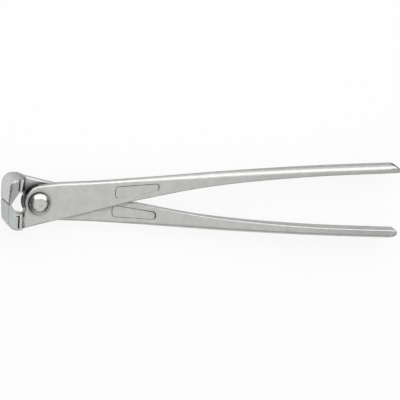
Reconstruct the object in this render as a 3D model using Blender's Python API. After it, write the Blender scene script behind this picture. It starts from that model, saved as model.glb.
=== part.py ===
"""Concreters' nippers: two like forged halves that cross at a lap joint, and the rivet that they turn on.

The tool lies flat, in metres. +Z runs up along the rivet, +X from the joint to the handle ends, and the
jaws point to -X. The origin is the middle of the rivet's lower head, level with the lowest side of the jaws.
A half is drawn in its own frame, with the rivet's axis on Z, the lap plane at Z = 0, its jaw on the -Y side
and its handle on the +Y side. The rear half is the same forging, turned half a turn about the long axis.
"""

import math

import bmesh
import bpy
from mathutils import Matrix, Vector

# Gaps between pieces that touch or run on each other
FIT_GAP = 0.0003
SEAM_GAP = 0.0003

# Jaws, as seen along the rivet. Each tapers towards the side that it overlaps, and its throat widens
JAW_REACH = 0.0201
JAW_WIDTH = 0.0220
JAW_HALF_HEIGHT = 0.0163
JAW_LAP_HALF_HEIGHT = 0.0153
JAW_FRONT_STRAIGHT = 0.0094
JAW_CORNER_LENGTH = 0.0060
JAW_LAP_REACH = 0.0195
JAW_LAP_STRAIGHT = 0.0103
JAW_LAP_CORNER_LENGTH = 0.0050
EDGE_CHAMFER = 0.0006
EDGE_LAND = 0.0011
EDGE_BEVEL = math.radians(58)
THROAT_HALF_HEIGHT = 0.0063
THROAT_LAP_HALF_HEIGHT = 0.0077
THROAT_CORNER = 0.0010

# How the front and shoulder run into the jaw's two flat sides: cut off at the lap, rounded at the plate
CHAMFER_WIDTH = 0.0013
CHAMFER_SHOULDER_WIDTH = 0.0005
CHAMFER_EDGE_WIDTH = 0.0004
CHAMFER_HEIGHT = 0.0009
SIDE_ROUND_WIDTH = 0.0003
SIDE_ROUND_SHOULDER_WIDTH = 0.0011
SIDE_ROUND_HEIGHT = 0.0012

# Where the ground sides of the jaws end, and how the forging behind them comes down to the plate
GROUND_SIDE_END_X = -0.0128
GROUND_STEP = 0.0004
LIP_END_X = -0.0112
LIP_FOOT_X = -0.0089
JAW_ROOT_X = -0.0094
JAW_OVERLAP = 0.0020
WALL_TOP_X = -0.0107
WALL_TOP_THROAT_X = -0.0123
WALL_TOP_DROP = 0.0004
WALL_FOOT_X = -0.0072
WALL_FOOT_ROUND = 0.0008
WALL_LEAN = math.radians(163)
FOOT_OVERLAP = 0.0002

# Narrow pocket across each side of the jaw where the grinding stops, with a hook on the plate's side
POCKET_START_X = -0.0138
POCKET_WIDTH = 0.0011
POCKET_LAP_WIDTH = 0.0007
POCKET_LAP_LEAN = 0.0005
POCKET_DEPTH = 0.0016
POCKET_THROAT_WALL = 0.0007
POCKET_SHOULDER_WALL = 0.0014
POCKET_HOOK = 0.0011
POCKET_HOOK_WIDTH = 0.0006

# Lap joint: the plate's rim is a round arc that runs off straight into the handle's outer edge
PLATE_THICKNESS = 0.0065
RIM_CENTRE_X = 0.0014
RIM_CENTRE_Y = 0.0006
RIM_RADIUS = 0.0101
RIM_START = math.radians(100)
RIM_END = math.radians(196)
RIM_ROUND = 0.0010
RIM_ROUND_END_X = -0.0040
FLARE_FOOT_PULL = 0.45
FLARE_RIM_PULL = 0.30
NECK_INSET = 0.0002

# Rivet
SHANK_RADIUS = 0.0045
HEAD_RADIUS = 0.0065
HEAD_FLAT_RADIUS = 0.0035
HEAD_RIM_HEIGHT = 0.0025
HEAD_SEAT_DEPTH = 0.0005
CROWN_TOP_SLOPE = math.radians(15)
CROWN_RIM_SLOPE = math.radians(50)

# Handles: the edges of one half's handle in the plane of the tool, at these distances from the rivet
NECK_X = 0.0130
WAIST_X = 0.0385
CROSSING_X = 0.0620
MIDDLE_X = 0.1100
GRIP_X = 0.1680
HANDLE_REACH = 0.2292
NECK_OUTER_Y = 0.0123
WAIST_OUTER_Y = 0.01335
CROSSING_OUTER_Y = 0.0150
MIDDLE_OUTER_Y = 0.0185
GRIP_OUTER_Y = 0.0213
END_OUTER_Y = 0.0234
NECK_INNER_Y = -0.0105
WAIST_INNER_Y = -0.0042
CROSSING_INNER_Y = 0.0014
MIDDLE_INNER_Y = 0.0101
GRIP_INNER_Y = 0.0155
END_INNER_Y = 0.0181
GRIP_THICKNESS = 0.0120
GRIP_FULL_X = 0.2000
NECK_INNER_ROUND = 0.0015
INNER_ROUND = 0.0008
NECK_OUTER_ROUND = 0.0018
GRIP_OUTER_ROUND = 0.0034
END_CORNER_LENGTH = 0.0070
END_CORNER_HEIGHT = 0.0034
END_INNER_CORNER = 0.0012
END_ROUND = 0.0010
END_ROUND_LENGTH = 0.0080

# Bare recessed panel on both faces of each handle
PANEL_START_X = 0.0477
PANEL_END_X = 0.0757
PANEL_BORDER = 0.0038
PANEL_START_HEIGHT = 0.0078
PANEL_END_HEIGHT = 0.0051
PANEL_CORNER = 0.0026
PANEL_CORNER_SHARE = 0.45
PANEL_DEPTH = 0.0004
PANEL_SLOPE = 0.0005

# How finely curves are cut
HANDLE_STEPS = 26
RIM_STEPS = 14
CORNER_STEPS = 4
ROUND_STEPS = 3
RIVET_SIDES = 48
DOME_STEPS = 6

HALF_WIDTH = JAW_WIDTH / 2
LAP_FACE = FIT_GAP / 2


def clear_scene():
    """Empty the scene before anything is made."""
    for leftover in list(bpy.data.objects):
        bpy.data.objects.remove(leftover, do_unlink=True)


def metal(name, colour, roughness):
    """A plated steel with this colour and roughness."""
    material = bpy.data.materials.new(name)
    material.use_nodes = True
    shader = material.node_tree.nodes["Principled BSDF"]
    shader.inputs["Base Color"].default_value = (*colour, 1.0)
    shader.inputs["Metallic"].default_value = 1.0
    shader.inputs["Roughness"].default_value = roughness
    return material


def smooth_between(values, along):
    """A smooth curve's height at a distance along it, through (distance, height) values in order."""
    last = len(values) - 1
    step = 0
    while step < last - 1 and along > values[step + 1][0]:
        step += 1
    (x0, y0), (x1, y1) = values[step], values[step + 1]
    before = values[max(step - 1, 0)]
    after = values[min(step + 2, last)]
    slope0 = (y1 - before[1]) / (x1 - before[0])
    slope1 = (after[1] - y0) / (after[0] - x0)
    span = x1 - x0
    t = (along - x0) / span
    return (
        (2 * t**3 - 3 * t**2 + 1) * y0
        + (t**3 - 2 * t**2 + t) * span * slope0
        + (3 * t**2 - 2 * t**3) * y1
        + (t**3 - t**2) * span * slope1
    )


def outer_edge(along):
    """The handle's outer edge, on the side away from the other handle."""
    values = (
        (NECK_X, NECK_OUTER_Y),
        (WAIST_X, WAIST_OUTER_Y),
        (CROSSING_X, CROSSING_OUTER_Y),
        (MIDDLE_X, MIDDLE_OUTER_Y),
        (GRIP_X, GRIP_OUTER_Y),
        (HANDLE_REACH, END_OUTER_Y),
    )
    return smooth_between(values, along)


def inner_edge(along):
    """The handle's inner edge, facing the other handle."""
    values = (
        (NECK_X, NECK_INNER_Y),
        (WAIST_X, WAIST_INNER_Y),
        (CROSSING_X, CROSSING_INNER_Y),
        (MIDDLE_X, MIDDLE_INNER_Y),
        (GRIP_X, GRIP_INNER_Y),
        (HANDLE_REACH, END_INNER_Y),
    )
    return smooth_between(values, along)


def ease(start, end, along):
    """From 0 at start to 1 at end, level at both."""
    t = min(max((along - start) / (end - start), 0.0), 1.0)
    return t * t * (3 - 2 * t)


def upper_face(along):
    """Height of the half's outward face over the lap plane."""
    return PLATE_THICKNESS + (GRIP_THICKNESS / 2 - PLATE_THICKNESS) * ease(CROSSING_X, GRIP_FULL_X, along)


def lower_face(along):
    """Height of the face on the lap side, which sinks past the lap plane towards the grip."""
    return LAP_FACE - (GRIP_THICKNESS / 2 + LAP_FACE) * ease(CROSSING_X, GRIP_FULL_X, along)


def outer_round(along):
    """Edge rounding along the outer side, which grows from the rim to the grip and is small at the end."""
    near = RIM_ROUND + (NECK_OUTER_ROUND - RIM_ROUND) * ease(RIM_ROUND_END_X, NECK_X, along)
    full = near + (GRIP_OUTER_ROUND - near) * ease(WAIST_X, MIDDLE_X, along)
    return full + (END_ROUND - full) * ease(HANDLE_REACH - END_ROUND_LENGTH, HANDLE_REACH, along)


def arc(centre, radii, start, end, steps):
    """Points on an ellipse's arc, both ends included."""
    points = []
    for step in range(steps + 1):
        angle = start + (end - start) * step / steps
        points.append((centre[0] + radii[0] * math.cos(angle), centre[1] + radii[1] * math.sin(angle)))
    return points


def spread(start, end, steps):
    """Evenly spaced distances, the start included and the end left out."""
    return [start + (end - start) * step / steps for step in range(steps)]


def flare(foot, rim_point):
    """Points on the curve from the jaw's root up to where the round rim starts, without its last one."""
    reach = (rim_point - foot).length
    foot_pull = foot + Vector((0, 1)) * reach * FLARE_FOOT_PULL
    rim_pull = rim_point + Vector((-math.sin(RIM_END), math.cos(RIM_END))) * reach * FLARE_RIM_PULL
    points = []
    for step in range(CORNER_STEPS):
        t = step / CORNER_STEPS
        shares = ((1 - t) ** 3, 3 * t * (1 - t) ** 2, 3 * t**2 * (1 - t), t**3)
        point = foot * shares[0] + foot_pull * shares[1] + rim_pull * shares[2] + rim_point * shares[3]
        points.append((point.x, point.y))
    return points


def outer_chain():
    """The arm's outline from inside the jaw, over the rim round the rivet and along the outer edge."""
    rim = arc((RIM_CENTRE_X, RIM_CENTRE_Y), (RIM_RADIUS, RIM_RADIUS), RIM_END, RIM_START, RIM_STEPS)
    inside_x = JAW_ROOT_X - JAW_OVERLAP
    foot = Vector((JAW_ROOT_X, -THROAT_LAP_HALF_HEIGHT - JAW_OVERLAP / 4))
    root = [
        (inside_x, -JAW_LAP_HALF_HEIGHT + JAW_OVERLAP),
        (inside_x, -THROAT_LAP_HALF_HEIGHT - JAW_OVERLAP),
        *flare(foot, Vector(rim[0])),
    ]
    chain = [(point, outer_round(point[0])) for point in root + rim]
    end_start = HANDLE_REACH - END_CORNER_LENGTH
    for along in spread(NECK_X, end_start, HANDLE_STEPS):
        chain.append(((along, outer_edge(along)), outer_round(along)))
    centre = (end_start, outer_edge(end_start) - END_CORNER_HEIGHT)
    for point in arc(centre, (END_CORNER_LENGTH, END_CORNER_HEIGHT), math.pi / 2, 0, CORNER_STEPS):
        chain.append((point, outer_round(point[0])))
    return chain


def neck_line(along):
    """The straight edge from the jaw's shoulder to the neck."""
    start = -JAW_HALF_HEIGHT + NECK_INSET
    share = (along - JAW_ROOT_X) / (NECK_X - JAW_ROOT_X)
    return start + (NECK_INNER_Y - start) * share


def neck_round(along):
    """Edge rounding from the shoulder to the neck, where it comes down to that of the inner edge."""
    return NECK_INNER_ROUND + (INNER_ROUND - NECK_INNER_ROUND) * ease(0, NECK_X, along)


def inner_chain(count):
    """The arm's outline along its inner edge, paired point by point with the outer chain."""
    corner_start = HANDLE_REACH - END_INNER_CORNER
    neck_steps = count - HANDLE_STEPS - CORNER_STEPS - 1
    chain = []
    for along in spread(JAW_ROOT_X, NECK_X, neck_steps)[1:]:
        chain.append(((along, neck_line(along)), neck_round(along)))
    for along in spread(NECK_X, corner_start, HANDLE_STEPS):
        chain.append(((along, inner_edge(along)), INNER_ROUND))
    centre = (corner_start, inner_edge(corner_start) + END_INNER_CORNER)
    corner = arc(centre, (END_INNER_CORNER, END_INNER_CORNER), -math.pi / 2, 0, CORNER_STEPS)
    for point in corner:
        chain.append((point, INNER_ROUND))
    return chain


def inward(outline, index):
    """The direction into the outline at one of its corners, as long as a mitre needs."""
    point = Vector(outline[index])
    before = (point - Vector(outline[index - 1])).normalized()
    after = (Vector(outline[(index + 1) % len(outline)]) - point).normalized()
    normals = [Vector((-edge.y, edge.x)) for edge in (before, after)]
    middle = (normals[0] + normals[1]).normalized()
    return middle / max(middle.dot(normals[0]), 0.5)


def arm_mesh(mesh):
    """The plate at the joint and the handle, as one slab with rounded edges."""
    outer = outer_chain()
    inner = inner_chain(len(outer))
    around = inner + outer[::-1]
    outline = [point for point, _ in around]
    directions = [inward(outline, index) for index in range(len(outline))]
    rings = []
    for side in (-1, 1):
        for step in range(ROUND_STEPS + 1):
            angle = math.pi / 2 * (step if side > 0 else ROUND_STEPS - step) / ROUND_STEPS
            ring = []
            for (point, rounding), direction in zip(around, directions):
                offset = direction * rounding * (1 - math.cos(angle))
                rise = rounding * (1 - math.sin(angle))
                along = point[0]
                height = upper_face(along) - rise if side > 0 else lower_face(along) + rise
                ring.append(mesh.verts.new((along + offset.x, point[1] + offset.y, height)))
            rings.append(ring)
    count = len(outline)
    for low, high in zip(rings, rings[1:]):
        for index in range(count):
            following = (index + 1) % count
            mesh.faces.new((low[index], low[following], high[following], high[index]))
    for ring, turned in ((rings[0], True), (rings[-1], False)):
        cap_ring(mesh, ring, len(inner), turned)
    return mesh


def cap_ring(mesh, ring, inner_count, turned):
    """Close one side of the arm with a ladder of faces between its inner and outer chains."""
    inner = ring[:inner_count]
    outer = ring[inner_count:][::-1]
    pairs = list(zip(inner, outer[1:]))
    faces = [(outer[0], inner[0], outer[1])]
    for (low, high), (next_low, next_high) in zip(pairs, pairs[1:]):
        faces.append((low, next_low, next_high, high))
    for face in faces:
        mesh.faces.new(face[::-1] if turned else face)


def loft(levels):
    """A closed solid through like outlines, given as (height along Z, outline) pairs from the lowest up."""
    mesh = bmesh.new()
    rings = []
    for height, outline in levels:
        rings.append([mesh.verts.new((x, y, height)) for x, y in outline])
    for low, high in zip(rings, rings[1:]):
        for index in range(len(low)):
            following = (index + 1) % len(low)
            mesh.faces.new((low[index], low[following], high[following], high[index]))
    mesh.faces.new(rings[0][::-1])
    mesh.faces.new(rings[-1])
    bmesh.ops.recalc_face_normals(mesh, faces=mesh.faces)
    return mesh


def prism(outline, low, high):
    """A closed solid over one outline, between two levels along Z."""
    return loft([(low, outline), (high, outline)])


def jaw_outline(edge_reach, corner, shoulder, throat_half_height):
    """The jaw seen along the rivet: its front, its rounded shoulder, the throat and the cutting edge.

    The corner is given as how far its front reaches, how long it is and how high the front goes before it.
    """
    reach, corner_length, straight = corner
    seam = -SEAM_GAP / 2
    inside_plate = WALL_FOOT_X + RIM_ROUND
    corner_centre = (corner_length - reach, -straight)
    corner_radii = (corner_length, shoulder - straight)
    edge_back = EDGE_CHAMFER + EDGE_LAND - JAW_REACH
    throat_corner = Vector((edge_back + throat_half_height / math.tan(EDGE_BEVEL), -throat_half_height))
    toward_edge = (Vector((edge_back, seam)) - throat_corner).normalized() * THROAT_CORNER
    points = [(EDGE_CHAMFER - edge_reach, seam), (-edge_reach, seam - EDGE_CHAMFER)]
    points += arc(corner_centre, corner_radii, math.pi, 1.5 * math.pi, 2 * CORNER_STEPS)
    points += [
        (JAW_ROOT_X, -shoulder),
        (inside_plate, -shoulder + JAW_OVERLAP),
        (inside_plate, -throat_half_height),
    ]
    points += bend(throat_corner, Vector((THROAT_CORNER, 0)), toward_edge)
    points.append((edge_back, seam))
    return points


def jaw_levels():
    """The jaw's outlines from its lap side to its plate side, as the loft takes them."""
    flat_corner = (JAW_LAP_REACH - CHAMFER_WIDTH, JAW_LAP_CORNER_LENGTH, JAW_LAP_STRAIGHT)
    lap_corner = (JAW_LAP_REACH, JAW_LAP_CORNER_LENGTH, JAW_LAP_STRAIGHT)
    plate_corner = (JAW_REACH, JAW_CORNER_LENGTH, JAW_FRONT_STRAIGHT)
    flat_reach = JAW_REACH - CHAMFER_EDGE_WIDTH
    flat_shoulder = JAW_LAP_HALF_HEIGHT - CHAMFER_SHOULDER_WIDTH
    chamfer_z = CHAMFER_HEIGHT - HALF_WIDTH
    middle_throat = (THROAT_HALF_HEIGHT + THROAT_LAP_HALF_HEIGHT) / 2
    levels = [
        (-HALF_WIDTH, jaw_outline(flat_reach, flat_corner, flat_shoulder, THROAT_LAP_HALF_HEIGHT)),
        (chamfer_z, jaw_outline(JAW_REACH, lap_corner, JAW_LAP_HALF_HEIGHT, THROAT_LAP_HALF_HEIGHT)),
        (0, jaw_outline(JAW_REACH, plate_corner, JAW_HALF_HEIGHT, middle_throat)),
    ]
    for step in range(ROUND_STEPS + 1):
        angle = math.pi / 2 * step / ROUND_STEPS
        share = 1 - math.cos(angle)
        reach = JAW_REACH - SIDE_ROUND_WIDTH * share
        corner = (reach, JAW_CORNER_LENGTH, JAW_FRONT_STRAIGHT)
        shoulder = JAW_HALF_HEIGHT - SIDE_ROUND_SHOULDER_WIDTH * share
        height = HALF_WIDTH - SIDE_ROUND_HEIGHT * (1 - math.sin(angle))
        levels.append((height, jaw_outline(reach, corner, shoulder, THROAT_HALF_HEIGHT)))
    return levels


def plate_side_profile():
    """What is cut off the jaw's plate side behind the ground part, drawn across X and Z."""
    beyond_z = 2 * HALF_WIDTH
    step_z = HALF_WIDTH - GROUND_STEP
    inside_plate = PLATE_THICKNESS - JAW_OVERLAP
    return [
        (GROUND_SIDE_END_X, beyond_z),
        (GROUND_SIDE_END_X, step_z),
        (LIP_END_X, step_z),
        (LIP_FOOT_X, inside_plate),
        (NECK_X, inside_plate),
        (NECK_X, beyond_z),
    ]


def lap_side_profile(wall_top_x):
    """What is cut off the jaw's lap side, down a wall to the lap plane, drawn across X and Z."""
    beyond_z = 2 * HALF_WIDTH
    step_z = HALF_WIDTH - GROUND_STEP
    foot_centre = (WALL_FOOT_X, LAP_FACE + FOOT_OVERLAP - WALL_FOOT_ROUND)
    foot_radii = (WALL_FOOT_ROUND, WALL_FOOT_ROUND)
    return [
        (GROUND_SIDE_END_X, -beyond_z),
        (GROUND_SIDE_END_X, -step_z),
        (wall_top_x, -step_z + WALL_TOP_DROP),
        *arc(foot_centre, foot_radii, WALL_LEAN, math.radians(90), CORNER_STEPS),
        (WALL_FOOT_X + RIM_ROUND / 2, PLATE_THICKNESS / 2),
        (NECK_X, PLATE_THICKNESS / 2),
        (NECK_X, -beyond_z),
    ]


def side_cutters(material):
    """The cutters behind the jaw's two flat sides. The wall on the lap side leans back towards the throat."""
    beyond_y = 2 * JAW_HALF_HEIGHT
    plate_side = plate_side_profile()
    at_throat = lap_side_profile(WALL_TOP_THROAT_X)
    at_shoulder = lap_side_profile(WALL_TOP_X)
    cutters = []
    for levels in (
        [(-beyond_y, plate_side), (beyond_y, plate_side)],
        [
            (-beyond_y, at_throat),
            (THROAT_HALF_HEIGHT, at_throat),
            (JAW_HALF_HEIGHT, at_shoulder),
            (beyond_y, at_shoulder),
        ],
    ):
        cutter = standing(loft(levels))
        bmesh.ops.recalc_face_normals(cutter, faces=cutter.faces)
        cutters.append(as_object("side_cut", cutter, material))
    return cutters


def pocket(side, half_height, throat_half_height):
    """The narrow pocket in one side of the jaw, as a cutter."""
    end_x = POCKET_START_X + (POCKET_WIDTH if side > 0 else POCKET_LAP_WIDTH)
    throat_y = -throat_half_height - POCKET_THROAT_WALL
    if side > 0:
        shoulder_y = -half_height + POCKET_SHOULDER_WALL
        hook_x = POCKET_START_X - POCKET_HOOK
        hook_y = throat_y - POCKET_HOOK_WIDTH
        outline = [(POCKET_START_X, shoulder_y), (end_x, shoulder_y), (end_x, throat_y)]
        outline += [(hook_x, throat_y), (hook_x, hook_y), (POCKET_START_X, hook_y)]
    else:
        beyond_y = -half_height - POCKET_SHOULDER_WALL
        outline = [(POCKET_START_X, beyond_y), (end_x, beyond_y)]
        outline += [(end_x - POCKET_LAP_LEAN, throat_y), (POCKET_START_X - POCKET_LAP_LEAN, throat_y)]
    low, high = sorted((side * (HALF_WIDTH - POCKET_DEPTH), side * 2 * HALF_WIDTH))
    return prism(outline, low, high)


def as_object(name, mesh, material):
    """A named object made from a working mesh."""
    data = bpy.data.meshes.new(name)
    mesh.to_mesh(data)
    mesh.free()
    data.materials.append(material)
    made = bpy.data.objects.new(name, data)
    bpy.context.collection.objects.link(made)
    return made


def combine(base, operation, tools):
    """Join shapes to an object or cut them from it, for good."""
    for tool in tools:
        modifier = base.modifiers.new(operation.lower(), "BOOLEAN")
        modifier.operation = operation
        modifier.object = tool
    bpy.context.view_layer.update()
    graph = bpy.context.evaluated_depsgraph_get()
    data = bpy.data.meshes.new_from_object(base.evaluated_get(graph))
    base.modifiers.clear()
    base.data = data
    for tool in tools:
        bpy.data.objects.remove(tool, do_unlink=True)


def bend(corner, toward_last, toward_next):
    """Points round a corner, from one distance before it to another after it."""
    points = []
    for step in range(CORNER_STEPS + 1):
        t = step / CORNER_STEPS
        point = corner + toward_last * (1 - t) ** 2 + toward_next * t**2
        points.append((point.x, point.y))
    return points


def panel_outline(margin):
    """The recessed panel's rounded outline, drawn in by a margin. It follows the handle's outer edge."""
    start_x = PANEL_START_X + margin
    end_x = PANEL_END_X - margin
    start_y = outer_edge(start_x) - PANEL_BORDER
    end_y = outer_edge(end_x) - PANEL_BORDER
    corners = [
        Vector((start_x, start_y - PANEL_START_HEIGHT + margin)),
        Vector((end_x, end_y - PANEL_END_HEIGHT + margin)),
        Vector((end_x, end_y - margin)),
        Vector((start_x, start_y - margin)),
    ]
    points = []
    for index, corner in enumerate(corners):
        toward_last, toward_next = (
            side.normalized() * min(PANEL_CORNER, side.length * PANEL_CORNER_SHARE)
            for side in (corners[index - 1] - corner, corners[(index + 1) % 4] - corner)
        )
        points += bend(corner, toward_last, toward_next)
    return points


def panel(face):
    """The cutter for the recessed panel on one face of the handle, with sloping walls."""
    surface = upper_face(PANEL_START_X) if face > 0 else lower_face(PANEL_START_X)
    levels = [
        (surface - face * PANEL_DEPTH, panel_outline(PANEL_SLOPE)),
        (surface + face * PANEL_DEPTH, panel_outline(-PANEL_SLOPE)),
    ]
    return loft(levels[::face])


def cylinder(radius, low, high):
    """A round cutter on the rivet's axis."""
    outline = arc((0, 0), (radius, radius), 0, 2 * math.pi, RIVET_SIDES)[:-1]
    return prism(outline, low, high)


def standing(mesh):
    """Turn a shape that was drawn across X and Y so that it lies across X and Z, its levels along Y."""
    bmesh.ops.transform(mesh, matrix=Matrix.Rotation(math.pi / 2, 4, "X"), verts=mesh.verts)
    return mesh


def half(name, material):
    """One forged half: jaw, plate at the joint and handle, with its rivet hole, seats and panels."""
    body = as_object(name, arm_mesh(bmesh.new()), material)
    jaw = as_object("jaw", loft(jaw_levels()), material)
    sides = side_cutters(material)
    sides.append(as_object("pocket_cut", pocket(1, JAW_HALF_HEIGHT, THROAT_HALF_HEIGHT), material))
    sides.append(as_object("pocket_cut", pocket(-1, JAW_LAP_HALF_HEIGHT, THROAT_LAP_HALF_HEIGHT), material))
    combine(jaw, "DIFFERENCE", sides)
    combine(body, "UNION", [jaw])
    bore = cylinder(SHANK_RADIUS + FIT_GAP, -PLATE_THICKNESS, 2 * PLATE_THICKNESS)
    seat = cylinder(HEAD_RADIUS + FIT_GAP, PLATE_THICKNESS - HEAD_SEAT_DEPTH, 2 * PLATE_THICKNESS)
    cuts = [as_object("bore", bore, material), as_object("seat", seat, material)]
    for face in (1, -1):
        cuts.append(as_object("panel_cut", panel(face), material))
    combine(body, "DIFFERENCE", cuts)
    body.data.shade_smooth()
    body.data.set_sharp_from_angle(angle=math.radians(35))
    return body


def rivet_profile():
    """The rivet's upper half in section: (radius, height over the lap plane), from its middle to its top."""
    seat = PLATE_THICKNESS - HEAD_SEAT_DEPTH + FIT_GAP
    crown_height = HALF_WIDTH - PLATE_THICKNESS - HEAD_RIM_HEIGHT
    crown_width = HEAD_RADIUS - HEAD_FLAT_RADIUS
    height_scale = crown_height / (math.cos(CROWN_TOP_SLOPE) - math.cos(CROWN_RIM_SLOPE))
    width_scale = crown_width / (math.sin(CROWN_RIM_SLOPE) - math.sin(CROWN_TOP_SLOPE))
    points = [(SHANK_RADIUS, 0.0), (SHANK_RADIUS, seat), (HEAD_RADIUS, seat)]
    for step in range(DOME_STEPS + 1):
        slope = CROWN_RIM_SLOPE + (CROWN_TOP_SLOPE - CROWN_RIM_SLOPE) * step / DOME_STEPS
        radius = HEAD_FLAT_RADIUS + width_scale * (math.sin(slope) - math.sin(CROWN_TOP_SLOPE))
        points.append((radius, HALF_WIDTH - height_scale * (math.cos(CROWN_TOP_SLOPE) - math.cos(slope))))
    return points


def rivet(name, material):
    """The rivet, headed alike at both ends, turned about its axis."""
    upper = rivet_profile()
    lower = [(radius, -height) for radius, height in upper[:0:-1]]
    mesh = bmesh.new()
    rings = []
    for radius, height in lower + upper:
        ring = []
        for side in range(RIVET_SIDES):
            angle = 2 * math.pi * side / RIVET_SIDES
            ring.append(mesh.verts.new((radius * math.cos(angle), radius * math.sin(angle), height)))
        rings.append(ring)
    for low, high in zip(rings, rings[1:]):
        for side in range(RIVET_SIDES):
            following = (side + 1) % RIVET_SIDES
            mesh.faces.new((low[side], low[following], high[following], high[side]))
    mesh.faces.new(rings[0][::-1])
    mesh.faces.new(rings[-1])
    made = as_object(name, mesh, material)
    made.data.shade_smooth()
    made.data.set_sharp_from_angle(angle=math.radians(35))
    return made


def build():
    """Make the pieces and set them in the tool's frame."""
    clear_scene()
    plated = metal("plated_steel", (0.53, 0.53, 0.51), 0.38)
    bright = metal("rivet_steel", (0.58, 0.58, 0.56), 0.25)
    front = half("front_half", plated)
    rear = half("rear_half", plated)
    pin = rivet("rivet", bright)
    rear.data.transform(Matrix.Rotation(math.pi, 4, "X"))
    for piece in (front, rear, pin):
        piece.location = (0, 0, HALF_WIDTH)


build()
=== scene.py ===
import math

import bmesh
import bpy
from mathutils import Matrix, Vector

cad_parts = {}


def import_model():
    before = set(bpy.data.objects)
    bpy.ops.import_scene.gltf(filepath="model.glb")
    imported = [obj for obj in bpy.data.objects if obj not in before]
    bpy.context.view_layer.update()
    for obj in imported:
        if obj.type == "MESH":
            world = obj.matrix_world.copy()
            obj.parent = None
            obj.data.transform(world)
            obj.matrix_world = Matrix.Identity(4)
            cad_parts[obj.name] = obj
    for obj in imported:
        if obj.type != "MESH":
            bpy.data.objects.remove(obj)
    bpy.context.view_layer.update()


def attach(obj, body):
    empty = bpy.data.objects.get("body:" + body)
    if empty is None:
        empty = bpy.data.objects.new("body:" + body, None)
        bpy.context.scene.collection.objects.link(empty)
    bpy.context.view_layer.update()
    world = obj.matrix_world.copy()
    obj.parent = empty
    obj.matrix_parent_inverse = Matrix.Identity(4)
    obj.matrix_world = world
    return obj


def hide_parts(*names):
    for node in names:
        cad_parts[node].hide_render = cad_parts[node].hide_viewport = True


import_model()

# The tool lies flat, in metres: +Z runs up along the rivet, +X from the joint to the handle ends.
# A half is drawn in its own frame, with the rivet's axis on Z, the lap plane at Z = 0, its jaw on the -Y side
# and its handle on the +Y side. The rear half is the same forging, turned half a turn about the long axis.

# Gaps between pieces that touch or run on each other
FIT_GAP = 0.0003
SEAM_GAP = 0.0003

# Jaws, as seen along the rivet. Each tapers towards the side that it overlaps, and its throat widens
JAW_REACH = 0.0201
JAW_WIDTH = 0.0220
JAW_HALF_HEIGHT = 0.0163
JAW_LAP_HALF_HEIGHT = 0.0153
JAW_FRONT_STRAIGHT = 0.0094
JAW_CORNER_LENGTH = 0.0060
JAW_LAP_REACH = 0.0195
JAW_LAP_STRAIGHT = 0.0103
JAW_LAP_CORNER_LENGTH = 0.0050
EDGE_CHAMFER = 0.0006
EDGE_LAND = 0.0011
EDGE_BEVEL = math.radians(58)
THROAT_HALF_HEIGHT = 0.0063
THROAT_LAP_HALF_HEIGHT = 0.0077
THROAT_CORNER = 0.0010

# How the front and shoulder run into the jaw's two flat sides: cut off at the lap, rounded at the plate
CHAMFER_WIDTH = 0.0013
CHAMFER_SHOULDER_WIDTH = 0.0005
CHAMFER_EDGE_WIDTH = 0.0004
CHAMFER_HEIGHT = 0.0009
SIDE_ROUND_WIDTH = 0.0003
SIDE_ROUND_SHOULDER_WIDTH = 0.0011
SIDE_ROUND_HEIGHT = 0.0012

# Where the ground sides of the jaws end, and how the forging behind them comes down to the plate
GROUND_SIDE_END_X = -0.0128
GROUND_STEP = 0.0004
LIP_END_X = -0.0112
LIP_FOOT_X = -0.0089
JAW_ROOT_X = -0.0094
JAW_OVERLAP = 0.0020
WALL_TOP_X = -0.0107
WALL_TOP_THROAT_X = -0.0123
WALL_TOP_DROP = 0.0004
WALL_FOOT_X = -0.0072
WALL_FOOT_ROUND = 0.0008
WALL_LEAN = math.radians(163)
FOOT_OVERLAP = 0.0002

# Narrow pocket across each side of the jaw where the grinding stops, with a hook on the plate's side
POCKET_START_X = -0.0138
POCKET_WIDTH = 0.0011
POCKET_LAP_WIDTH = 0.0007
POCKET_LAP_LEAN = 0.0005
POCKET_DEPTH = 0.0016
POCKET_THROAT_WALL = 0.0007
POCKET_SHOULDER_WALL = 0.0014
POCKET_HOOK = 0.0011
POCKET_HOOK_WIDTH = 0.0006

# Lap joint: the plate's rim is a round arc that runs off straight into the handle's outer edge
PLATE_THICKNESS = 0.0065
RIM_CENTRE_X = 0.0014
RIM_CENTRE_Y = 0.0006
RIM_RADIUS = 0.0101
RIM_START = math.radians(100)
RIM_END = math.radians(196)
RIM_ROUND = 0.0010
RIM_ROUND_END_X = -0.0040
FLARE_FOOT_PULL = 0.45
FLARE_RIM_PULL = 0.30
NECK_INSET = 0.0002

# Rivet
SHANK_RADIUS = 0.0045
HEAD_RADIUS = 0.0065
HEAD_FLAT_RADIUS = 0.0035
HEAD_RIM_HEIGHT = 0.0025
HEAD_SEAT_DEPTH = 0.0005
CROWN_TOP_SLOPE = math.radians(15)
CROWN_RIM_SLOPE = math.radians(50)

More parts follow.
